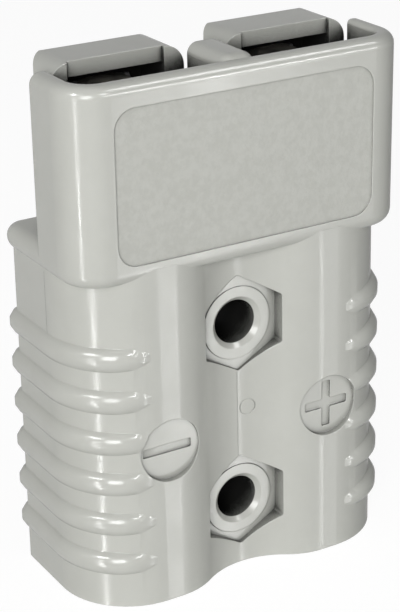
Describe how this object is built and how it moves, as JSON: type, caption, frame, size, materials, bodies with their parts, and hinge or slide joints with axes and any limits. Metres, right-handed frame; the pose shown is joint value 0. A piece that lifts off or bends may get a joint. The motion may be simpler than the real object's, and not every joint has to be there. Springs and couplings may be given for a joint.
{
  "type": "genderless power connector",
  "caption": "Genderless power connector: a ribbed moulded housing with a hood and hollow tongues, and a spring-backed blade contact for each cable.",
  "frame": {"origin": "centre of the cable end, in the plane where two mated connectors meet", "axes": "+Z towards the mating end, -Y out of the label side, +X towards the plus side"},
  "size_m": [0.056, 0.0253, 0.0808],
  "materials": {
    "housing": "moulded, satin",
    "contact": "silver-plated copper alloy, dulled",
    "spring": "rolled strip"
  },
  "bodies": {
    "root": {"housing": "housing", "contact_negative": "contact", "contact_positive": "contact", "spring_negative": "spring", "spring_positive": "spring"}
  },
  "joints": []
}
